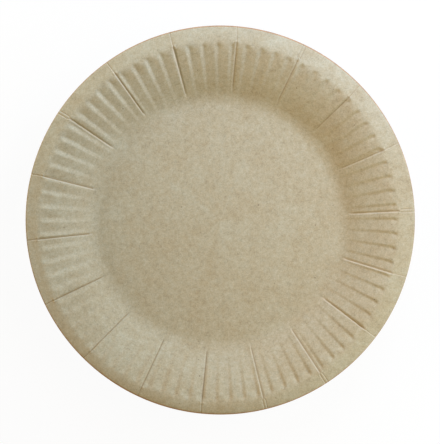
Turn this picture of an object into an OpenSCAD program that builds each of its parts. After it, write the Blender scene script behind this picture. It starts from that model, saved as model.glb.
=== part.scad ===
// Round paper plate pressed from one sheet of kraft board. The sheet is scored
// and cut round, then pressed into a flat base, a wall whose saw-toothed flutes
// take up the spare board, and a smooth rim that falls away to the cut edge.
// The die sat a little off the middle of the sheet, so the rim is wider on one
// side. Sizes are in millimetres. Z is up, and the origin is on the table,
// under the middle of the round edge.

/* [Sheet] */
// Diameter of the cut edge
plate_d = 180; // [150:1:260]
// Thickness of the board
board = 0.5; // [0.3:0.05:0.8]

/* [Section] */
// Height of the rim's crest above the table
height = 15; // [10:0.5:25]
// Width of the rim, from its crest to the cut edge
rim_w = 4.9; // [4:0.1:12]
// Width of the wall in plan, from the base to the crest
wall_w = 30.3; // [22:0.1:40]
// Width in plan of the curve from the base into the wall
foot_w = 7.5; // [3:0.5:9]
// Width in plan of the curve from the wall up to the crest
shoulder_w = 5; // [1:0.1:8]
// Share of the wall's steepest slope that is left below the shoulder
wall_ease = 0.52; // [0.4:0.01:1]
// Radius that the rim falls away on
rim_r = 150; // [20:5:200]
// Place of the die's axis along X from the middle of the cut edge
die_x = -0.95; // [-3:0.05:3]
// Place of the die's axis along Y from the middle of the cut edge
die_y = -1.05; // [-3:0.05:3]

/* [Flutes] */
// Number of flutes round the wall
flutes = 78; // [40:1:100]
// Depth of a flute where the shoulder starts
flute_depth = 0.7; // [0.2:0.1:1.5]
// Share of the flutes' pitch that the steep side takes
flute_rise = 0.31; // [0.15:0.01:0.5]
// Share of the shoulder's width that lies outside the flutes' ends
flute_end = 0.3; // [0.1:0.05:0.5]
// Angle of the first steep side, anticlockwise from +X
flute_turn = 1.87; // [0:0.01:9]
// Place of the flutes' middle along X from the middle of the cut edge
flute_x = -1.43; // [-4:0.01:4]
// Place of the flutes' middle along Y from the middle of the cut edge
flute_y = -2.54; // [-4:0.01:4]

/* [Creases] */
// Number of scored creases
creases = 18; // [6:1:30]
// Width of a crease
crease_w = 1.6; // [0.6:0.1:2]
// Depth of a crease on the wall
crease_depth = 0.5; // [0.1:0.05:0.8]
// Depth of a crease on the rim, where it is pressed flat
crease_rim_depth = 0.22; // [0.05:0.01:0.4]
// Share of the foot's curve that lies inside the creases' inner ends
crease_start = 0.75; // [0.6:0.05:0.95]
// Length over which a crease fades out at its inner end
crease_fade = 1.2; // [0.5:0.1:3]
// Angle of the first crease, anticlockwise from +X
crease_turn = 4.45; // [0:0.05:20]
// Place of the scores' middle along X from the middle of the cut edge
score_x = -0.46; // [-4:0.01:4]
// Place of the scores' middle along Y from the middle of the cut edge
score_y = -1.97; // [-4:0.01:4]

/* [Hidden] */
kraft = "#b4ab91";

// Board that the round cut trims off, outside the widest part of the rim
trim = 1;
// Sides that draw the round cut
cut_sides = 360;
// Room between a crease and the nearest line of a flute
crease_gap = 0.2;
// Share of the plate's radius at which the flutes and creases are evenly spread about their middles
spread_share = 0.8;

plate_r = plate_d / 2;
crest_r = plate_r - rim_w;
base_r = crest_r - wall_w;
foot_mid_r = base_r + foot_w / 2;
foot_end_r = base_r + foot_w;
crease_start_r = base_r + foot_w * crease_start;
shoulder_r = crest_r - shoulder_w;
flute_end_r = crest_r - shoulder_w * flute_end;
straight_w = shoulder_r - foot_end_r;
spread_r = plate_r * spread_share;
die = [die_x, die_y];
flute_mid = [flute_x, flute_y];
score_mid = [score_x, score_y];
sheet_r = plate_r + norm(die) + trim;
flute_pitch = 360 / flutes;
crease_pitch = 360 / creases;

// Steepest slope of the wall, which brings the crest to its height
steepest = (height - board) / (foot_w / 2 + straight_w * (1 + wall_ease) / 2 + shoulder_w * wall_ease / 2);

// Radii between which the slope changes evenly
slope_breaks = [base_r, foot_end_r, shoulder_r, crest_r, sheet_r];

// Radii at which the sheet is drawn
rings = [
    base_r, foot_mid_r, crease_start_r, foot_end_r, foot_end_r + crease_fade, (foot_end_r + shoulder_r) / 2,
    shoulder_r, (shoulder_r + flute_end_r) / 2, flute_end_r, crest_r, (crest_r + sheet_r) / 2, sheet_r
];

// Places in a flute's pitch that are drawn: the foot and the top of its steep side
flute_marks = [0, flute_rise];

// Angle on each side of a crease that its own lines take up
crease_room = asin((crease_w / 2 + crease_gap) / (base_r - norm(die)));

function total(values) = values * [for (v = values) 1];

function fraction(x) = x - floor(x);

function share(x, from, to) = max(0, min(1, (x - from) / (to - from)));

// Slope of the board at a distance from the die's axis, outwards and up
function slope(r) =
    r < base_r ? 0
    : r < foot_end_r ? steepest * (r - base_r) / foot_w
    : r < shoulder_r ? steepest * (1 - (1 - wall_ease) * (r - foot_end_r) / straight_w)
    : r < crest_r ? steepest * wall_ease * (crest_r - r) / shoulder_w
    : (crest_r - r) / rim_r;

// Height of the board's upper face, from the slope of each stretch inside the radius
function section(r) = board + total([
    for (i = [0 : len(slope_breaks) - 2])
        let (inner = slope_breaks[i], outer = max(inner, min(r, slope_breaks[i + 1])))
        (outer - inner) * (slope(inner) + slope(outer)) / 2
]);

// Direction from the middle of the cut edge to a mark, for marks that are evenly spread about a point near it
function spread(turn, mid) = turn + asin((mid.y * cos(turn) - mid.x * sin(turn)) / spread_r);

// Share of a flute's depth at a point: none at its top, and all at the foot of its steep side
function flute_share(point) =
    let (
        aim = point * spread_r / norm(point) - flute_mid,
        mark = fraction((atan2(aim.y, aim.x) - flute_turn) / flute_pitch)
    )
    mark < flute_rise ? 1 - mark / flute_rise : (mark - flute_rise) / (1 - flute_rise);

// Depth of the flutes, which deepen up the wall and end in the shoulder
function flute_depth_at(r) = flute_depth * share(r, foot_mid_r, shoulder_r) * share(r, flute_end_r, shoulder_r);

// Depth of the creases, which start in the foot of the wall and run out to the edge
function crease_depth_at(point, r) =
    r < flute_end_r
        ? crease_depth * share(norm(point), crease_start_r, crease_start_r + crease_fade)
        : crease_rim_depth;

// A line on the sheet, straight in plan, is its direction, its distance from
// the middle of the cut edge and its share of a crease's depth
function crease_angle(k) = spread(crease_turn + k * crease_pitch, score_mid);

function crease_lines(k) = [
    for (side = [-1 : 1]) [crease_angle(k), side * crease_w / 2, 1 - abs(side)]
];

function flute_lines(from, to) = [
    for (i = [floor((from - flute_turn) / flute_pitch) - 1 : ceil((to - flute_turn) / flute_pitch) + 1])
        for (mark = flute_marks)
            let (angle = spread(flute_turn + (i + mark) * flute_pitch, flute_mid))
            if (angle > from && angle < to) [angle, 0, 0]
];

lines = [
    for (k = [0 : creases - 1])
        each concat(
            crease_lines(k),
            flute_lines(crease_angle(k) + crease_room, crease_angle(k + 1) - crease_room)
        )
];

// Point in plan where a line crosses a ring about the die's axis
function crossing(line, r) =
    let (
        along = [cos(line[0]), sin(line[0])],
        start = line[1] * [-along.y, along.x],
        offset = start - die,
        run = offset * along
    )
    start + along * (sqrt(run * run - offset * offset + r * r) - run);

// Point of the board's upper face where a line crosses a ring
function upper_point(line, r) =
    let (
        point = crossing(line, r),
        z = section(r) - flute_depth_at(r) * flute_share(point) - crease_depth_at(point, r) * line[2]
    )
    [point.x, point.y, z];

// Drop from the upper face to the lower one, a board's thickness square to the slope
function drop(r) = board * sqrt(1 + pow(slope(r), 2));

// The pressed sheet before it is cut round
module pressed_sheet() {
    count = len(lines);
    layer = count * len(rings);
    upper = [for (r = rings) for (line = lines) upper_point(line, r)];
    lower = [for (r = rings) for (line = lines) upper_point(line, r) - [0, 0, drop(r)]];
    last = layer - count;

    upper_faces = [
        for (ring = [0 : len(rings) - 2])
            for (i = [0 : count - 1])
                let (a = ring * count + i, b = ring * count + (i + 1) % count)
                each [[a, b, b + count], [a, b + count, a + count]]
    ];
    lower_faces = [for (face = upper_faces) [for (i = [2 : -1 : 0]) face[i] + layer]];
    edge_faces = [
        for (i = [0 : count - 1])
            let (a = last + i, b = last + (i + 1) % count)
            each [[a, b, b + layer], [a, b + layer, a + layer]]
    ];
    base_faces = [
        [for (i = [count - 1 : -1 : 0]) i],
        [for (i = [0 : count - 1]) layer + i]
    ];

    polyhedron(concat(upper, lower), concat(upper_faces, lower_faces, edge_faces, base_faces));
}

// The plate: one sheet, pressed and cut round
module plate() {
    color(kraft)
        intersection() {
            pressed_sheet();
            translate([0, 0, -trim]) cylinder(h = height + 2 * trim, d = plate_d, $fn = cut_sides);
        }
}

plate();
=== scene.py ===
"""Paper plate: the pressed kraft board, its finishes, the studio and the camera."""

import logging
from collections.abc import Sequence
from dataclasses import dataclass
from enum import Enum
from math import asin, cos, pi, radians, sin, tau
from typing import ClassVar

import bpy
import numpy as np
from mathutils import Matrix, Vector


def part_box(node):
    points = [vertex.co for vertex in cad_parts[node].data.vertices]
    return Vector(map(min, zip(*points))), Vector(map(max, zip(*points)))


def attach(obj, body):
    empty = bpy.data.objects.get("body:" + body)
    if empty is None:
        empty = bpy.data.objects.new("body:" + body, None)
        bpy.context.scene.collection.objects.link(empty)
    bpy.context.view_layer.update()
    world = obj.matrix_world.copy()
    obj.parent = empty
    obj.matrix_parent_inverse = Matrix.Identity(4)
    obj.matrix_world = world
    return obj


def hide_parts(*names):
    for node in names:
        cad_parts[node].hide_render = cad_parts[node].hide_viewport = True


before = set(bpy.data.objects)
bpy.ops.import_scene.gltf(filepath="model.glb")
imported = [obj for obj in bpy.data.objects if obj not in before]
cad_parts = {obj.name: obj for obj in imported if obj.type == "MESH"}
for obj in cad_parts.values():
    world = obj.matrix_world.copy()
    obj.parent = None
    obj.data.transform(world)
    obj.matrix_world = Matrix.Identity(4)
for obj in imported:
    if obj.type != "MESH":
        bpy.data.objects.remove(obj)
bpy.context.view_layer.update()  # one body, root, with one node, plate

MM = 0.001

# Places of a Mix node's colour sockets, whose names its other sockets share
MIX_COLOURS = slice(6, 8)
MIX_RESULT = 2

log = logging.getLogger("plate")

Colour = tuple[float, float, float]


class Field:
    """One output of a node tree, with arithmetic that adds the nodes for it."""

    def __init__(self, tree: bpy.types.NodeTree, socket: bpy.types.NodeSocket) -> None:
        """Keep the tree and the output that holds the value.

        Args:
            tree: The node tree that new nodes go into.
            socket: The output that holds this value.
        """
        self.tree = tree
        self.socket = socket

    def into(self, target: bpy.types.NodeSocket) -> None:
        """Link this value to an input."""
        self.tree.links.new(self.socket, target)

    def _math(self, operation: str, *values: "Field | float") -> "Field":
        """Add a Math node.

        Args:
            operation: The node's operation.
            values: Its inputs in order, fields or plain numbers.

        Returns:
            The node's result.
        """
        node = self.tree.nodes.new("ShaderNodeMath")
        node.operation = operation
        for slot, value in zip(node.inputs, values):
            if isinstance(value, Field):
                value.into(slot)
            else:
                slot.default_value = value
        return Field(self.tree, node.outputs[0])

    def __add__(self, other: "Field | float") -> "Field":
        """Sum."""
        return self._math("ADD", self, other)

    def __radd__(self, other: float) -> "Field":
        """Sum with a number first."""
        return self._math("ADD", other, self)

    def __sub__(self, other: "Field | float") -> "Field":
        """Difference."""
        return self._math("SUBTRACT", self, other)

    def __rsub__(self, other: float) -> "Field":
        """Difference from a number."""
        return self._math("SUBTRACT", other, self)

    def __mul__(self, other: "Field | float") -> "Field":
        """Product."""
        return self._math("MULTIPLY", self, other)

    def __rmul__(self, other: float) -> "Field":
        """Product with a number first."""
        return self._math("MULTIPLY", other, self)

    def __truediv__(self, other: "Field | float") -> "Field":
        """Quotient."""
        return self._math("DIVIDE", self, other)

    def __pow__(self, other: "Field | float") -> "Field":
        """Power."""
        return self._math("POWER", self, other)

    def __abs__(self) -> "Field":
        """Size without sign."""
        return self._math("ABSOLUTE", self)

    def root(self) -> "Field":
        """Square root."""
        return self._math("SQRT", self)

    def fraction(self) -> "Field":
        """Part after the whole number."""
        return self._math("FRACT", self)

    def cosine(self) -> "Field":
        """Cosine of an angle."""
        return self._math("COSINE", self)

    def angle_from(self, along: "Field") -> "Field":
        """Angle whose rise is this value and whose run is the other."""
        return self._math("ARCTAN2", self, along)

    def at_least(self, other: "Field | float") -> "Field":
        """The larger of two values."""
        return self._math("MAXIMUM", self, other)

    def at_most(self, other: "Field | float") -> "Field":
        """The smaller of two values."""
        return self._math("MINIMUM", self, other)

    def share(self, start: "Field | float", end: "Field | float") -> "Field":
        """How far this value has gone from start to end, kept between 0 and 1."""
        return ((self - start) / (end - start)).at_least(0.0).at_most(1.0)

    def eased(self) -> "Field":
        """A share that starts and ends gently."""
        return self * self * (3.0 - 2.0 * self)


class RimFold(Enum):
    """How a crease comes out where the press flattens it on the rim."""

    LINE = 0.0
    STRIP = 0.7 * MM

    @property
    def half_gap(self) -> float:
        """Distance from the crease's middle to each of its lines on the rim."""
        return self.value


@dataclass(frozen=True)
class Spread:
    """Marks spread evenly about a centre a little off the sheet's own.

    Each mark runs straight out from the sheet's middle, and at mid_r it is in its even place.
    """

    count: int
    turn: float
    x: float
    y: float
    mid_r: float = 72.0 * MM

    def angle(self, number: float) -> float:
        """Direction of a mark from the middle of the sheet.

        Args:
            number: Which mark, counted anticlockwise; parts of a step lie between marks.

        Returns:
            The angle from +X, in radians.
        """
        turn = self.turn + number * tau / self.count
        aside = self.y * cos(turn) - self.x * sin(turn)
        return turn + asin(aside / self.mid_r)


@dataclass(frozen=True)
class Die:
    """The pressing die: the plate's section about its axis, and the flutes."""

    # Place of the axis from the middle of the sheet
    x: float = -0.95 * MM
    y: float = -1.05 * MM
    # Widths in plan, and the share of the wall's steepest slope that is left below the shoulder
    rim_w: float = 4.9 * MM
    wall_w: float = 30.3 * MM
    foot_w: float = 7.5 * MM
    shoulder_w: float = 5.0 * MM
    wall_ease: float = 0.52
    # Radius that the rim falls away on, and how many times that bend its curl adds and its lift takes off
    rim_r: float = 150.0 * MM
    curl: float = 9.0
    curl_turn: float = radians(257)
    curl_focus: float = 3.0
    lift: float = 9.0
    lift_turn: float = radians(193)
    lift_focus: float = 8.0
    # Flutes: the rise is the steep side's share of the pitch, and the end is measured in from the crest
    flutes: Spread = Spread(78, radians(1.87), -1.43 * MM, -2.54 * MM)
    flute_depth: float = 0.66 * MM
    flute_rise: float = 0.31
    flute_end: float = 1.5 * MM
    flute_onset: float = 0.85
    flute_chance: float = 0.14
    # Pockets that close the flutes, and how far a flute deepens and its gentle side sharpens there
    pocket_r: float = 2.2 * MM
    pocket_w: float = 2.7 * MM
    pocket_depth: float = 1.4
    pocket_close: float = 5.0
    # Side of the plate where the press bit harder, and how far the flutes change towards it
    uneven_turn: float = radians(190)
    uneven_depth: float = 0.3
    uneven_rise: float = 0.08
    uneven_pocket: float = 0.3


@dataclass(frozen=True)
class Scores:
    """The creases scored into the sheet before it is pressed."""

    # Grooves, from their soft inner ends to where the press flattens and narrows them
    spread: Spread = Spread(18, radians(4.45), -0.46 * MM, -1.97 * MM)
    start_r: float = 60.4 * MM
    fade: float = 1.2 * MM
    width: float = 1.6 * MM
    depth: float = 0.5 * MM
    flatten: float = 1.3 * MM
    rim_depth: float = 0.22 * MM
    rim_narrowing: float = 0.45
    # Creases that part into two lines on the rim, and how far each crease leans there
    strips: frozenset[int] = frozenset((0, 3, 7, 14, 15))
    lean: float = 0.02
    lean_chance: float = 0.04
    # Bead that each crease raises where the flutes end
    bead_height: float = 0.5 * MM
    bead_out: float = 0.3 * MM
    bead_r: float = 0.9 * MM
    bead_half_w: float = 1.7 * MM
    # How deep each crease is, which also sets its painted groove shade, and how strong the painted
    # highlight on its lips is; both change round the plate, the highlight most on creases that run across
    # the light
    bite: float = 0.91
    bite_swing: float = 0.09
    bite_turn: float = radians(200)
    bite_chance: float = 0.05
    lip_highlight: float = 0.34
    lip_highlight_swing: float = 0.27
    lip_highlight_turn: float = radians(140)
    seed: int = 18

    def fold(self, number: int) -> RimFold:
        """Which way a crease comes out on the rim."""
        return RimFold.STRIP if number in self.strips else RimFold.LINE

    def bite_at(self, angle: float) -> float:
        """Share of its depth that a crease keeps, which changes with its direction."""
        return self.bite + self.bite_swing * cos(angle - self.bite_turn)

    def lip_highlight_at(self, angle: float) -> float:
        """How strong the painted highlight on a crease's lips is, which changes with its direction:
        strongest where the crease runs across the light.
        """
        return self.lip_highlight + self.lip_highlight_swing * cos(2.0 * (angle - self.lip_highlight_turn))


@dataclass(frozen=True)
class BoardFinish:
    """Kraft board: two tones that drift into each other, with fibres and specks, painted shade along its
    creases and a painted highlight on their lips.
    """

    name: str
    cool: Colour
    warm: Colour
    fleck: Colour
    # Colour of the scored line: the scored fibres' darker tone, with painted shade in the groove
    scored: Colour
    # Colour of the painted highlight on a crease's lips
    highlit_lips: Colour
    roughness: float
    specular: float
    bump: float
    # How dark the painted groove shade gets, and how closely it keeps to the groove's bottom
    scored_share: float = 0.82
    scored_focus: float = 3.0

    def material(self, fibres: bpy.types.NodeTree) -> bpy.types.Material:
        """Make the material.

        Args:
            fibres: The shared group that draws the board's fibres.

        Returns:
            The finished material.
        """
        material = bpy.data.materials.new(self.name)
        material.use_nodes = True
        tree = material.node_tree
        shader = tree.nodes["Principled BSDF"]
        shader.inputs["Specular IOR Level"].default_value = self.specular

        place = tree.nodes.new("ShaderNodeTexCoord")
        group = tree.nodes.new("ShaderNodeGroup")
        group.node_tree = fibres
        tree.links.new(place.outputs["Object"], group.inputs["Place"])

        shaded = tree.nodes.new("ShaderNodeVectorMath")
        shaded.operation = "SCALE"
        tree.links.new(mixed(tree, group.outputs["Warmth"], self.cool, self.warm), shaded.inputs[0])
        tree.links.new(group.outputs["Tone"], shaded.inputs["Scale"])
        flecked = mixed(tree, group.outputs["Fleck"], shaded.outputs[0], self.fleck)
        depth = painted(tree, "scored").at_most(1.0)
        # The painted highlight on the lips is strongest half way down the groove, where depth * (1 -
        # depth) is a quarter
        lips = depth * (1.0 - depth) * 4.0 * painted(tree, "lip_highlight")
        highlit_lips = mixed(tree, lips.socket, flecked, self.highlit_lips)
        # Painted shade along the groove, darkest at its bottom, with the scored fibres' darker tone
        line = depth**self.scored_focus * self.scored_share
        with_painted_light = mixed(tree, line.socket, highlit_lips, self.scored)
        tree.links.new(with_painted_light, shader.inputs["Base Color"])
        shader.inputs["Roughness"].default_value = self.roughness

        bump = tree.nodes.new("ShaderNodeBump")
        bump.inputs["Strength"].default_value = 1.0
        bump.inputs["Distance"].default_value = self.bump
        tree.links.new(group.outputs["Height"], bump.inputs["Height"])
        tree.links.new(bump.outputs["Normal"], shader.inputs["Normal"])
        return material


def painted(tree: bpy.types.NodeTree, name: str) -> Field:
    """Read in a material one of the attributes that the plate keeps.

    Args:
        tree: The node tree to add to.
        name: The attribute's name.

    Returns:
        The attribute's value.
    """
    node = tree.nodes.new("ShaderNodeAttribute")
    node.attribute_name = name
    return Field(tree, node.outputs["Fac"])


def mixed(
    tree: bpy.types.NodeTree,
    share: bpy.types.NodeSocket,
    first: Colour | bpy.types.NodeSocket,
    second: Colour | bpy.types.NodeSocket,
) -> bpy.types.NodeSocket:
    """Mix two colours.

    Args:
        tree: The node tree to add to.
        share: The second colour's share.
        first: A colour or an output that holds one.
        second: The same, for the other colour.

    Returns:
        The output that holds the mixed colour.
    """
    node = tree.nodes.new("ShaderNodeMix")
    node.data_type = "RGBA"
    tree.links.new(share, node.inputs["Factor"])
    for slot, colour in zip(node.inputs[MIX_COLOURS], (first, second)):
        if isinstance(colour, tuple):
            slot.default_value = (*colour, 1.0)
        else:
            tree.links.new(colour, slot)
    return node.outputs[MIX_RESULT]


def noise(
    tree: bpy.types.NodeTree,
    place: bpy.types.NodeSocket,
    size: float,
    detail: float = 1.0,
    distortion: float = 0.0,
) -> Field:
    """Soft random spots.

    Args:
        tree: The node tree to add to.
        place: The output with the coordinates, in metres.
        size: Width of a spot, in metres.
        detail: How many finer layers are added.
        distortion: How far the spots are pulled out of shape.

    Returns:
        A value about 0.5 that varies over the surface.
    """
    node = tree.nodes.new("ShaderNodeTexNoise")
    node.inputs["Scale"].default_value = 1.0 / size
    node.inputs["Detail"].default_value = detail
    node.inputs["Distortion"].default_value = distortion
    tree.links.new(place, node.inputs["Vector"])
    return Field(tree, node.outputs[0])


@dataclass(frozen=True)
class Spots:
    """Soft spots of one size, and how far they shift the board's tone, coolness and height."""

    size: float
    tone: float
    cooling: float = 0.0
    height: float = 0.0
    detail: float = 1.0


@dataclass(frozen=True)
class Fibres:
    """What shows in kraft board: soft spots of many sizes, threads and specks."""

    spots: tuple[Spots, ...] = (
        Spots(20.0 * MM, tone=0.22, cooling=0.6, detail=5.0),
        Spots(8.0 * MM, tone=0.12, cooling=0.3),
        Spots(3.4 * MM, tone=0.19, cooling=0.4),
        Spots(1.4 * MM, tone=0.28, cooling=0.5, height=0.4),
        Spots(0.6 * MM, tone=0.48, height=0.6),
    )
    coolest: float = 0.26
    # Threads lie in bundles, which are dark where their noise is high and pale where it is low
    thread_size: float = 1.7 * MM
    thread_bend: float = 1.2
    thread_width: float = 0.06
    thread_height: float = 0.3
    bundle_size: float = 2.6 * MM
    dark_bundle: tuple[float, float] = (0.55, 0.62)
    pale_bundle: tuple[float, float] = (0.38, 0.45)
    dark_tone: float = 0.14
    pale_tone: float = 0.08
    # Specks lie in cells, one at most in each; widths are shares of a cell
    speck_cell: float = 9.0 * MM
    speck_odds: float = 0.5
    speck_width: float = 0.04
    speck_blur: float = 0.001
    speck_core: float = 0.6

    def group(self) -> bpy.types.NodeTree:
        """Draw the board's tone, its warmth, its specks and its surface.

        Returns:
            The shader group, with the outputs Tone, Warmth, Fleck and Height.
        """
        tree = bpy.data.node_groups.new("Kraft fibres", "ShaderNodeTree")
        tree.interface.new_socket("Place", in_out="INPUT", socket_type="NodeSocketVector")
        for name in ("Tone", "Warmth", "Fleck", "Height"):
            tree.interface.new_socket(name, in_out="OUTPUT", socket_type="NodeSocketFloat")
        start = tree.nodes.new("NodeGroupInput")
        end = tree.nodes.new("NodeGroupOutput")
        place = start.outputs["Place"]

        tone, cooling, height = 1.0, 0.0, 0.0
        for spots in self.spots:
            shift = noise(tree, place, spots.size, spots.detail) - 0.5
            tone = tone + spots.tone * shift
            cooling = cooling + spots.cooling * shift
            height = height + spots.height * shift
        dark, pale = self._threads(tree, place)
        tone = tone - self.dark_tone * dark + self.pale_tone * pale
        tone.into(end.inputs["Tone"])
        cooling.share(self.coolest, -self.coolest).into(end.inputs["Warmth"])
        self._specks(tree, place).into(end.inputs["Fleck"])
        (height + self.thread_height * pale).into(end.inputs["Height"])
        return tree

    def _threads(self, tree: bpy.types.NodeTree, place: bpy.types.NodeSocket) -> tuple[Field, Field]:
        """Draw the threads.

        Args:
            tree: The node tree to add to.
            place: The output with the coordinates, in metres.

        Returns:
            The dark threads and the pale ones.
        """
        aside = abs(noise(tree, place, self.thread_size, distortion=self.thread_bend) - 0.5)
        thread = 1.0 - aside.share(0.0, self.thread_width)
        bundle = noise(tree, place, self.bundle_size, detail=0.0)
        return thread * bundle.share(*self.dark_bundle), thread * (1.0 - bundle.share(*self.pale_bundle))

    def _specks(self, tree: bpy.types.NodeTree, place: bpy.types.NodeSocket) -> Field:
        """Draw the specks, each of its own width and depth of colour.

        Args:
            tree: The node tree to add to.
            place: The output with the coordinates, in metres.

        Returns:
            How far a speck covers the board.
        """
        cells = tree.nodes.new("ShaderNodeTexVoronoi")
        cells.voronoi_dimensions = "2D"
        cells.inputs["Scale"].default_value = 1.0 / self.speck_cell
        tree.links.new(place, cells.inputs["Vector"])
        chance = tree.nodes.new("ShaderNodeSeparateColor")
        tree.links.new(cells.outputs["Color"], chance.inputs["Color"])
        width = Field(tree, chance.outputs["Red"]).share(self.speck_odds, 1.0) * self.speck_width
        away = Field(tree, cells.outputs["Distance"])
        speck = 1.0 - away.share(self.speck_core * width, width + self.speck_blur)
        return speck * Field(tree, chance.outputs["Green"])


@dataclass
class PaperPlate:
    """The plate: one round sheet of board, scored, cut with a bevel that comes and goes, and pressed."""

    die: Die
    scores: Scores
    radius: float
    height: float
    board: float = 0.5 * MM
    # Cut edge: its bevel, and the shares of the board's thickness between which the cut stands upright
    edge_bevel: float = 0.34 * MM
    bevel_swing: float = 0.24 * MM
    bevel_turn: float = radians(80)
    edge_top: float = 0.3
    edge_bottom: float = 0.8
    # Lattice: lines beside a crease in shares of its half width, lines that fan out from it, and rings
    crease_lines: tuple[float, ...] = (0.2, 0.4, 0.6, 0.8, 1.0, 1.25, 1.5, 1.85, 2.2)
    crease_gap: float = 0.1 * MM
    fan_lines: int = 2
    lines_per_flute: int = 15
    foot_rings: int = 6
    wall_rings: int = 8
    shoulder_rings: int = 11
    rim_rings: int = 5
    sharp_angle: float = radians(60)

    HELPERS: ClassVar[tuple[str, ...]] = ("layer", "across", "fold_gap", "lean", "strength", "cut")

    @property
    def crest_r(self) -> float:
        """Radius of the rim's crest about the die's axis."""
        return self.radius - self.die.rim_w

    @property
    def base_r(self) -> float:
        """Radius of the flat base."""
        return self.crest_r - self.die.wall_w

    @property
    def foot_end_r(self) -> float:
        """Radius at which the wall leaves the foot's curve."""
        return self.base_r + self.die.foot_w

    @property
    def shoulder_r(self) -> float:
        """Radius at which the wall turns over to the crest."""
        return self.crest_r - self.die.shoulder_w

    @property
    def edge_z(self) -> float:
        """Height of the cut edge where the rim neither curls nor lifts."""
        return self.height - self.die.rim_w**2 / (2 * self.die.rim_r)

    def lattice_lines(self) -> tuple[np.ndarray, np.ndarray]:
        """Lay out the lattice's straight lines.

        They run side by side along a crease, then fan out beside it, then follow the flutes to the next.

        Returns:
            Each line's direction and its distance from the sheet's middle.
        """
        marks = self.scores.width / 2 * np.array(self.crease_lines)
        room = asin((marks[-1] + self.crease_gap) / self.base_r)
        fan = np.arange(1, self.fan_lines + 1) / (self.fan_lines + 1)
        turns = np.concatenate([np.zeros(len(marks)), fan * room])
        marks = np.concatenate([marks, (1.0 - fan) * marks[-1]])
        turns = np.concatenate([-turns[::-1], [0.0], turns])
        marks = np.concatenate([-marks[::-1], [0.0], marks])

        creases, flutes = self.scores.spread, self.die.flutes
        whole_turn = flutes.count * self.lines_per_flute
        steps = range(-whole_turn // 2, 2 * whole_turn)
        along_flutes = np.array([flutes.angle(step / self.lines_per_flute) for step in steps])
        directions, offsets = [], []
        for number in range(creases.count):
            here = creases.angle(number)
            start, end = here + room, creases.angle(number + 1) - room
            between = along_flutes[(along_flutes > start) & (along_flutes < end)]
            directions += [here + turns, between]
            offsets += [marks, np.zeros(len(between))]
        return np.concatenate(directions), np.concatenate(offsets)

    def lattice_points(self) -> np.ndarray:
        """Cross the lines with rings about the die, and on the rim with shares of the way to the edge.

        Returns:
            Points in plan, by ring and line.
        """
        direction, offset = self.lattice_lines()
        out = np.stack([np.cos(direction), np.sin(direction)], 1)
        foot = offset[:, None] * np.stack([-np.sin(direction), np.cos(direction)], 1)
        from_axis = foot - np.array([self.die.x, self.die.y])
        back = (from_axis * out).sum(1)
        miss = (from_axis**2).sum(1)

        radii = np.concatenate([
            np.linspace(self.base_r, self.foot_end_r, self.foot_rings + 1),
            np.linspace(self.foot_end_r, self.shoulder_r, self.wall_rings + 1)[1:],
            np.linspace(self.shoulder_r, self.crest_r, self.shoulder_rings + 1)[1:],
        ])
        along = [np.sqrt(back**2 - miss + r**2) - back for r in radii]
        edge = np.sqrt(self.radius**2 - offset**2)
        swing = np.cos(2.0 * (direction - self.bevel_turn))
        crest, bevel = along[-1], edge - self.edge_bevel - self.bevel_swing * swing
        for share in np.linspace(0.0, 1.0, self.rim_rings + 1)[1:]:
            along.append(crest * (1.0 - share) + bevel * share)
        along.append(edge)
        return foot + np.stack(along)[:, :, None] * out

    def crease_marks(self, points: np.ndarray) -> dict[str, np.ndarray]:
        """Mark each point with its place across the nearest crease, that crease's own form and the
        strength of its painted lip highlight.

        Args:
            points: Points in plan.

        Returns:
            The marks' values by name.
        """
        rng = np.random.default_rng(self.scores.seed)
        names = ("across", "fold_gap", "lean", "strength", "lip_highlight")
        marks = {name: np.zeros(points.shape[:-1]) for name in names}
        marks["across"][:] = np.inf
        for number in range(self.scores.spread.count):
            angle = self.scores.spread.angle(number)
            beside = points @ np.array([-sin(angle), cos(angle)])
            ahead = points @ np.array([cos(angle), sin(angle)]) > 0
            nearer = ahead & (np.abs(beside) < np.abs(marks["across"]))
            marks["across"][nearer] = beside[nearer]
            marks["fold_gap"][nearer] = self.scores.fold(number).half_gap
            marks["lean"][nearer] = rng.normal(self.scores.lean, self.scores.lean_chance)
            chance = self.scores.bite_chance * rng.uniform(-1.0, 1.0)
            marks["strength"][nearer] = self.scores.bite_at(angle) + chance
            # Strength of the painted highlight on this crease's lips, most where the crease runs across
            # the light
            marks["lip_highlight"][nearer] = self.scores.lip_highlight_at(angle)
        return marks

    def blank(self) -> bpy.types.Object:
        """Make the flat sheet, closed, with its creases marked on its points.

        Returns:
            The sheet's object.
        """
        points = self.lattice_points()
        rings, lines, _ = points.shape
        layer = rings * lines
        flat = points.reshape(-1, 2)
        upper = np.column_stack([flat, np.full(layer, self.board)])
        lower = np.column_stack([flat, np.zeros(layer)])

        inner = np.arange(layer - lines)
        ring, line = np.divmod(inner, lines)
        following = ring * lines + (line + 1) % lines
        top = np.column_stack([inner, inner + lines, following + lines, following])
        bottom = top[:, ::-1] + layer
        rim = np.arange(layer - lines, layer)
        after = np.roll(rim, -1)
        side = np.column_stack([rim + layer, after + layer, after, rim])
        base = [list(range(lines)), list(range(layer + lines - 1, layer - 1, -1))]

        mesh = bpy.data.meshes.new("blank")
        faces = [*top.tolist(), *bottom.tolist(), *side.tolist(), *base]
        mesh.from_pydata(np.concatenate([upper, lower]).tolist(), [], faces)
        depth = np.repeat([0.0, 1.0], layer)
        depth[rim], depth[rim + layer] = self.edge_top, self.edge_bottom
        marks = self.crease_marks(points)
        both_faces = {name: np.tile(values.ravel(), 2) for name, values in marks.items()}
        for name, values in {"layer": depth, **both_faces}.items():
            mesh.attributes.new(name, "FLOAT", "POINT").data.foreach_set("value", values)
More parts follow.
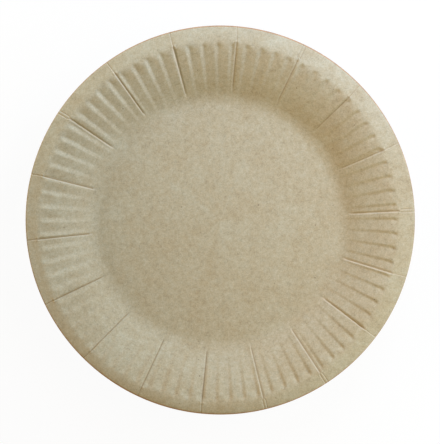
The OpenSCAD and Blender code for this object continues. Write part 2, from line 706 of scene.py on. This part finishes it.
        # The upper bevel and the upright side show the cut board
        cut = np.zeros(len(faces), bool)
        cut[len(top) - lines : len(top)] = True
        cut[2 * len(top) : 2 * len(top) + lines] = True
        mesh.attributes.new("cut", "BOOLEAN", "FACE").data.foreach_set("value", cut)
        sheet = bpy.data.objects.new("blank", mesh)
        bpy.context.scene.collection.objects.link(sheet)
        return sheet

    def press_sizes(self) -> dict[str, float]:
        """Name the press's inputs and give their sizes.

        Returns:
            Each input's value by its name.
        """
        return {
            "Die X": self.die.x,
            "Die Y": self.die.y,
            "Board": self.board,
            "Height": self.height,
            "Base Radius": self.base_r,
            "Foot End": self.foot_end_r,
            "Shoulder": self.shoulder_r,
            "Crest": self.crest_r,
            "Wall Ease": self.die.wall_ease,
            "Rim Radius": self.die.rim_r,
            "Curl": self.die.curl,
            "Curl Turn": self.die.curl_turn,
            "Curl Focus": self.die.curl_focus,
            "Lift": self.die.lift,
            "Lift Turn": self.die.lift_turn,
            "Lift Focus": self.die.lift_focus,
            "Flutes": self.die.flutes.count,
            "Flute Turn": self.die.flutes.turn,
            "Flute X": self.die.flutes.x,
            "Flute Y": self.die.flutes.y,
            "Flute Middle": self.die.flutes.mid_r,
            "Flute Depth": self.die.flute_depth,
            "Flute Rise": self.die.flute_rise,
            "Flute End": self.crest_r - self.die.flute_end,
            "Flute Onset": self.die.flute_onset,
            "Flute Chance": self.die.flute_chance,
            "Uneven Turn": self.die.uneven_turn,
            "Uneven Depth": self.die.uneven_depth,
            "Uneven Rise": self.die.uneven_rise,
            "Uneven Pocket": self.die.uneven_pocket,
            "Pocket Radius": self.die.pocket_r,
            "Pocket Width": self.die.pocket_w,
            "Pocket Depth": self.die.pocket_depth,
            "Pocket Close": self.die.pocket_close,
            "Crease Start": self.scores.start_r,
            "Crease Fade": self.scores.fade,
            "Crease Width": self.scores.width,
            "Crease Depth": self.scores.depth,
            "Crease Flatten": self.scores.flatten,
            "Crease Rim Depth": self.scores.rim_depth,
            "Crease Rim Narrowing": self.scores.rim_narrowing,
            "Bead Height": self.scores.bead_height,
            "Bead Out": self.scores.bead_out,
            "Bead Radius": self.scores.bead_r,
            "Bead Half Width": self.scores.bead_half_w,
        }

    def press_tree(self, board: bpy.types.Material, edge: bpy.types.Material) -> bpy.types.NodeTree:
        """Build the press, which lifts each point of the flat sheet to its height.

        Args:
            board: The material of both faces.
            edge: The material of the cut edge.

        Returns:
            The Geometry Nodes tree, with an input for each size.
        """
        tree = bpy.data.node_groups.new("Press", "GeometryNodeTree")
        tree.interface.new_socket("Sheet", in_out="INPUT", socket_type="NodeSocketGeometry")
        tree.interface.new_socket("Plate", in_out="OUTPUT", socket_type="NodeSocketGeometry")
        for name in self.press_sizes():
            tree.interface.new_socket(name, in_out="INPUT", socket_type="NodeSocketFloat")
        start = tree.nodes.new("NodeGroupInput")
        end = tree.nodes.new("NodeGroupOutput")
        size = {name: Field(tree, start.outputs[name]) for name in self.press_sizes()}

        position = tree.nodes.new("GeometryNodeInputPosition")
        parts = tree.nodes.new("ShaderNodeSeparateXYZ")
        tree.links.new(position.outputs[0], parts.inputs[0])
        x, y = Field(tree, parts.outputs["X"]), Field(tree, parts.outputs["Y"])
        from_middle = (x * x + y * y).root()
        across, along = x - size["Die X"], y - size["Die Y"]
        r = (across * across + along * along).root()

        section, slope = self._section(size, r, along.angle_from(across))
        creases, scored = self._creases(tree, size, r, from_middle)
        top = section - self._flutes(tree, size, x, y, r) - creases
        drop = size["Board"] * (1.0 + slope * slope).root()
        z = top - drop * named(tree, "layer")

        place = tree.nodes.new("ShaderNodeCombineXYZ")
        tree.links.new(parts.outputs["X"], place.inputs["X"])
        tree.links.new(parts.outputs["Y"], place.inputs["Y"])
        z.into(place.inputs["Z"])
        # Keep how hard each point is scored, which the material turns into painted shade in the groove
        # and a painted highlight on its lips
        marked = tree.nodes.new("GeometryNodeStoreNamedAttribute")
        marked.data_type = "FLOAT"
        marked.domain = "POINT"
        marked.inputs["Name"].default_value = "scored"
        scored.into(marked.inputs["Value"])
        pressed = tree.nodes.new("GeometryNodeSetPosition")
        tree.links.new(place.outputs[0], pressed.inputs["Position"])

        real = tree.nodes.new("GeometryNodeRealizeInstances")
        faces = tree.nodes.new("GeometryNodeSetMaterial")
        faces.inputs["Material"].default_value = board
        rim = tree.nodes.new("GeometryNodeSetMaterial")
        rim.inputs["Material"].default_value = edge
        named(tree, "cut", "BOOLEAN").into(rim.inputs["Selection"])
        chain = [start, marked, pressed, real, faces, rim, end]
        for before, after in zip(chain, chain[1:]):
            tree.links.new(before.outputs[0], after.inputs[0])
        return tree

    @staticmethod
    def _section(size: dict[str, Field], r: Field, angle: Field) -> tuple[Field, Field]:
        """Work out the section from slopes that change evenly over each stretch.

        The rim is almost flat. It curls down on one side of the plate, and turns up a little beside that.

        Args:
            size: The press's inputs.
            r: Distance from the die's axis.
            angle: Direction from the die's axis.

        Returns:
            The upper face's height and its slope.
        """
        base, foot, shoulder = size["Base Radius"], size["Foot End"], size["Shoulder"]
        crest, ease = size["Crest"], size["Wall Ease"]
        run = (foot - base) + (shoulder - foot) * (ease + 1.0) + (crest - shoulder) * ease
        steepest = (size["Height"] - size["Board"]) * 2.0 / run
        height, slope = size["Board"], None
        stretches = ((base, foot, 0.0, 1.0), (foot, shoulder, 1.0, ease), (shoulder, crest, ease, 0.0))
        for inner, outer, at_inner, at_outer in stretches:
            share = r.share(inner, outer)
            change = steepest * (at_outer - at_inner) * share
            height = height + (steepest * at_inner + change * 0.5) * share * (outer - inner)
            slope = change if slope is None else slope + change
        out = (r - crest).at_least(0.0)
        curled = (angle - size["Curl Turn"]).cosine().at_least(0.0) ** size["Curl Focus"]
        lifted = (angle - size["Lift Turn"]).cosine().at_least(0.0) ** size["Lift Focus"]
        bend = (1.0 + size["Curl"] * curled - size["Lift"] * lifted) / size["Rim Radius"]
        return height - out * out * bend * 0.5, slope - out * bend

    @staticmethod
    def _flutes(tree: bpy.types.NodeTree, size: dict[str, Field], x: Field, y: Field, r: Field) -> Field:
        """Work out the flutes: a steep side, then a gentle one.

        A round pocket closes each flute below the crest. The press bit harder on one side of the plate,
        where the flutes are deeper and broader.

        Args:
            tree: The press's node tree.
            size: The press's inputs.
            x: Place along X from the middle of the sheet.
            y: Place along Y.
            r: Distance from the die's axis.

        Returns:
            The flutes' depth below the section.
        """
        reach = (x * x + y * y).root()
        middle = size["Flute Middle"] / reach
        angle = (y * middle - size["Flute Y"]).angle_from(x * middle - size["Flute X"])
        pitch = reach * tau / size["Flutes"]
        swing = (angle - size["Uneven Turn"]).cosine()
        rise = size["Flute Rise"] + size["Uneven Rise"] * swing
        back = (size["Flute Rise"] + rise) * 0.5 - (angle - size["Flute Turn"]) * size["Flutes"] / tau
        behind = back.fraction()
        pocket_w = size["Pocket Width"] * (1.0 + size["Uneven Pocket"] * swing)
        closing = r.share(size["Flute End"] - pocket_w * 2.0, size["Flute End"]) * (0.5 - swing * 0.5)
        gentle = (1.0 - behind.share(rise, 1.0)) ** (1.0 + size["Pocket Close"] * closing)

        steep_w = rise * pitch
        from_steep = size["Pocket Radius"] - behind * pitch
        from_end = size["Pocket Radius"] - (size["Flute End"] - r) * steep_w / pocket_w
        inside_steep, inside_end = from_steep.at_least(0.0), from_end.at_least(0.0)
        corner = (inside_steep * inside_steep + inside_end * inside_end).root()
        clear = size["Pocket Radius"] - corner - from_steep.at_least(from_end).at_most(0.0)
        start = (size["Base Radius"] + size["Foot End"]) * 0.5
        deepening = r.share(start, size["Shoulder"]) ** size["Flute Onset"]

        chance = tree.nodes.new("ShaderNodeTexWhiteNoise")
        chance.noise_dimensions = "1D"
        (back - behind).into(chance.inputs["W"])
        luck = 1.0 + (Field(tree, chance.outputs["Value"]) - 0.5) * size["Flute Chance"]
        depth = size["Flute Depth"] * (1.0 + size["Uneven Depth"] * swing) * luck
        depth = depth * (1.0 + size["Pocket Depth"] * closing)
        return clear.share(0.0, steep_w).eased() * gentle * deepening * depth

    @staticmethod
    def _creases(
        tree: bpy.types.NodeTree, size: dict[str, Field], r: Field, from_middle: Field
    ) -> tuple[Field, Field]:
        """Work out the creases: a groove on the wall, a bead at the crest and fine lines on the rim.

        Args:
            tree: The press's node tree.
            size: The press's inputs.
            r: Distance from the die's axis.
            from_middle: Distance from the middle of the sheet.

        Returns:
            The creases' depth below the section, and how hard the board is scored, from which the
            material paints shade along the groove and a highlight on its lips.
        """
        out = r - size["Flute End"]
        across = named(tree, "across") - named(tree, "lean") * out.at_least(0.0)
        on_rim = out.share(0.0, size["Crease Flatten"]).eased()
        beside = abs(abs(across) - named(tree, "fold_gap") * on_rim)
        half = size["Crease Width"] * 0.5
        groove = 1.0 - beside.share(0.0, half * (1.0 - on_rim * size["Crease Rim Narrowing"]))
        depth = size["Crease Depth"] + (size["Crease Rim Depth"] - size["Crease Depth"]) * on_rim
        begun = from_middle.share(size["Crease Start"], size["Crease Start"] + size["Crease Fade"])

        off = (out - size["Bead Out"]) / size["Bead Radius"]
        aside = across / size["Bead Half Width"]
        bead = (1.0 - (off * off + aside * aside).root().share(0.0, 1.0)).eased()
        # How hard the board is scored here, which also sets the painted shade in the groove
        scored = groove * begun
        strength = named(tree, "strength")
        return (scored * depth - bead * size["Bead Height"]) * strength, scored * strength

    def build(self, board: bpy.types.Material, edge: bpy.types.Material) -> bpy.types.Object:
        """Press the sheet and keep the result as a plain mesh.

        Args:
            board: The material of both faces.
            edge: The material of the cut edge.

        Returns:
            The finished plate.
        """
        sheet = self.blank()
        press = sheet.modifiers.new("Press", "NODES")
        press.node_group = self.press_tree(board, edge)
        sockets = {item.name: item.identifier for item in press.node_group.interface.items_tree}
        for name, value in self.press_sizes().items():
            press[sockets[name]] = float(value)
        depsgraph = bpy.context.evaluated_depsgraph_get()
        mesh = bpy.data.meshes.new_from_object(sheet.evaluated_get(depsgraph), depsgraph=depsgraph)
        mesh.name = "plate_board"
        bpy.data.objects.remove(sheet)
        for name in self.HELPERS:
            mesh.attributes.remove(mesh.attributes[name])
        mesh.shade_smooth()
        mesh.set_sharp_from_angle(angle=self.sharp_angle)
        plate = bpy.data.objects.new("plate_board", mesh)
        bpy.context.scene.collection.objects.link(plate)
        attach(plate, "root")
        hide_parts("plate")
        return plate


def named(tree: bpy.types.NodeTree, name: str, kind: str = "FLOAT") -> Field:
    """Read one of the sheet's own attributes.

    Args:
        tree: The node tree to add to.
        name: The attribute's name.
        kind: Its data type.

    Returns:
        The attribute's value.
    """
    node = tree.nodes.new("GeometryNodeInputNamedAttribute")
    node.data_type = kind
    node.inputs["Name"].default_value = name
    return Field(tree, node.outputs["Attribute"])


@dataclass(frozen=True)
class Lamp:
    """A square soft box that faces the plate.

    Its level is how bright it makes, by itself, a white sheet that lies at the point it faces.
    """

    name: str
    azimuth: float
    elevation: float
    distance: float
    level: float
    colour: Colour
    side_share: float = 0.5

    def build(self, target: Vector) -> bpy.types.Object:
        """Hang the lamp.

        Args:
            target: The point that it faces.

        Returns:
            The lamp's object.
        """
        lamp = bpy.data.lights.new(self.name, "AREA")
        lamp.shape = "SQUARE"
        lamp.size = self.distance * self.side_share
        lamp.color = self.colour
        lamp.energy = self.level * pi**2 * self.distance**2 / sin(self.elevation)
        out = Vector((
            cos(self.elevation) * cos(self.azimuth),
            cos(self.elevation) * sin(self.azimuth),
            sin(self.elevation),
        ))
        holder = bpy.data.objects.new(self.name, lamp)
        holder.location = target + out * self.distance
        holder.rotation_euler = out.to_track_quat("Z", "Y").to_euler()
        holder.visible_camera = False
        bpy.context.scene.collection.objects.link(holder)
        return holder


@dataclass(frozen=True)
class Studio:
    """A pale floor under a plain sky, with soft lamps."""

    lamps: Sequence[Lamp]
    sky: Colour
    sky_level: float
    floor_colour: Colour = (0.8, 0.8, 0.8)
    floor_size: float = 8.0
    floor_gap: float = 0.1 * MM
    floor_glow: float = 0.95
    # Glow under the plate, which paints a shadow there, and the radii over which it gives way to the open
    # floor's glow
    painted_shadow_glow: float = 0.2
    painted_shadow_r: float = 56.0 * MM
    open_r: float = 91.0 * MM

    def build(self, target: Vector) -> None:
        """Set up the floor, the sky and the lamps.

        Args:
            target: The point that the lamps face.
        """
        self.build_floor()
        self.build_sky()
        for lamp in self.lamps:
            lamp.build(target)

    def build_floor(self) -> None:
        """Lay the floor, which the camera sees as near white but under the plate, where a painted shadow
        deepens the real one.
        """
        half = self.floor_size / 2
        corners = [(-half, -half), (half, -half), (half, half), (-half, half)]
        mesh = bpy.data.meshes.new("floor")
        mesh.from_pydata([(x, y, -self.floor_gap) for x, y in corners], [], [(0, 1, 2, 3)])
        material = bpy.data.materials.new("floor")
        material.use_nodes = True
        tree = material.node_tree
        tree.nodes.clear()
        end = tree.nodes.new("ShaderNodeOutputMaterial")
        matte = tree.nodes.new("ShaderNodeBsdfDiffuse")
        matte.inputs["Color"].default_value = (*self.floor_colour, 1.0)
        glow = tree.nodes.new("ShaderNodeEmission")
        both = tree.nodes.new("ShaderNodeMixShader")
        place = tree.nodes.new("ShaderNodeTexCoord")
        away = tree.nodes.new("ShaderNodeVectorMath")
        away.operation = "LENGTH"
        tree.links.new(place.outputs["Object"], away.inputs[0])
        # Under the plate the floor glows less: a painted shadow there, which also lets the real shadow
        # show
        clear = Field(tree, away.outputs["Value"]).share(self.painted_shadow_r, self.open_r).eased()
        white = self.painted_shadow_glow + clear * (self.floor_glow - self.painted_shadow_glow)
        (seen_directly(tree) * white).into(both.inputs[0])
        tree.links.new(matte.outputs[0], both.inputs[1])
        tree.links.new(glow.outputs[0], both.inputs[2])
        tree.links.new(both.outputs[0], end.inputs["Surface"])
        mesh.materials.append(material)
        floor = bpy.data.objects.new("floor", mesh)
        bpy.context.scene.collection.objects.link(floor)

    def build_sky(self) -> None:
        """Light the scene evenly from all round, with white behind it."""
        world = bpy.data.worlds.new("sky")
        world.use_nodes = True
        tree = world.node_tree
        tree.nodes.clear()
        end = tree.nodes.new("ShaderNodeOutputWorld")
        light = tree.nodes.new("ShaderNodeBackground")
        light.inputs["Color"].default_value = (*self.sky, 1.0)
        light.inputs["Strength"].default_value = self.sky_level
        white = tree.nodes.new("ShaderNodeBackground")
        white.inputs["Color"].default_value = (1.0, 1.0, 1.0, 1.0)
        both = tree.nodes.new("ShaderNodeMixShader")
        seen_directly(tree).into(both.inputs[0])
        tree.links.new(light.outputs[0], both.inputs[1])
        tree.links.new(white.outputs[0], both.inputs[2])
        tree.links.new(both.outputs[0], end.inputs["Surface"])
        bpy.context.scene.world = world


def seen_directly(tree: bpy.types.NodeTree) -> Field:
    """Tell the camera's own rays, and those seen in gloss or glass, from the light's.

    Args:
        tree: The node tree to add to.

    Returns:
        1 for such a ray and 0 for any other.
    """
    path = tree.nodes.new("ShaderNodeLightPath")
    camera, gloss, glass = (
        Field(tree, path.outputs[name])
        for name in ("Is Camera Ray", "Is Glossy Ray", "Is Transmission Ray")
    )
    return camera.at_least(gloss).at_least(glass)


@dataclass(frozen=True)
class PhotoCamera:
    """A camera straight above the plate, framed as the photograph is."""

    width_px: int = 440
    height_px: int = 444
    plate_x_px: float = 220.27
    plate_y_px: float = 220.06
    plate_r_px: float = 194.65
    distance: float = 0.9
    sensor_mm: float = 36.0

    def build(self, radius: float, edge_z: float) -> bpy.types.Object:
        """Place the camera.

        Args:
            radius: The plate's radius.
            edge_z: Height of its edge.

        Returns:
            The camera's object.
        """
        pixel = radius / self.plate_r_px
        camera = bpy.data.cameras.new("camera")
        camera.sensor_width = self.sensor_mm
        long_side = max(self.width_px, self.height_px) * pixel
        camera.lens = self.sensor_mm * (self.distance - edge_z) / long_side
        holder = bpy.data.objects.new("camera", camera)
        holder.location = (
            (self.width_px / 2 - self.plate_x_px) * pixel,
            (self.plate_y_px - self.height_px / 2) * pixel,
            self.distance,
        )
        bpy.context.scene.collection.objects.link(holder)
        bpy.context.scene.camera = holder
        return holder


BOARD = BoardFinish(
    name="kraft_board",
    cool=(0.453, 0.417, 0.306),
    warm=(0.486, 0.403, 0.26),
    fleck=(0.17, 0.13, 0.08),
    scored=(0.22, 0.135, 0.042),
    highlit_lips=(0.62, 0.55, 0.42),
    roughness=0.9,
    specular=0.2,
    bump=0.03 * MM,
)
EDGE = BoardFinish(
    name="cut_edge",
    cool=(0.42, 0.26, 0.15),
    warm=(0.46, 0.29, 0.17),
    fleck=(0.2, 0.12, 0.08),
    scored=(0.22, 0.14, 0.07),
    highlit_lips=(0.44, 0.28, 0.16),
    roughness=0.95,
    specular=0.1,
    bump=0.05 * MM,
)
KEY = Lamp(
    name="key",
    azimuth=radians(60),
    elevation=radians(30),
    distance=0.3,
    level=0.405,
    colour=(0.76, 1.0, 1.48),
)
SIDE = Lamp(
    name="side",
    azimuth=radians(10),
    elevation=radians(45),
    distance=0.42,
    level=0.235,
    colour=(1.3, 1.0, 0.65),
)
FILL = Lamp(
    name="fill",
    azimuth=radians(180),
    elevation=radians(20),
    distance=1.2,
    level=0.092,
    colour=(1.6, 1.0, 0.5),
)
BACK = Lamp(
    name="back",
    azimuth=radians(132),
    elevation=radians(20),
    distance=0.22,
    level=0.076,
    colour=(0.84, 1.0, 0.95),
)
FRONT = Lamp(
    name="front",
    azimuth=radians(322),
    elevation=radians(20),
    distance=0.22,
    level=0.098,
    colour=(0.79, 1.0, 1.05),
)
STUDIO = Studio(lamps=(KEY, SIDE, FILL, BACK, FRONT), sky=(1.07, 1.0, 0.5), sky_level=0.15)


def main() -> None:
    """Build the plate, the studio and the camera."""
    logging.basicConfig(level=logging.INFO, format="%(message)s")
    low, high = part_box("plate")
    radius = (high.x - low.x) / 2
    plate = PaperPlate(die=Die(), scores=Scores(), radius=radius, height=high.z)
    fibres = Fibres().group()
    piece = plate.build(BOARD.material(fibres), EDGE.material(fibres))
    log.info("%s: %d faces", piece.name, len(piece.data.polygons))

    STUDIO.build(Vector((0.0, 0.0, 0.0)))
    PhotoCamera().build(radius, plate.edge_z)
    bpy.context.scene.view_settings.view_transform = "Standard"


if __name__ == "__main__":
    main()
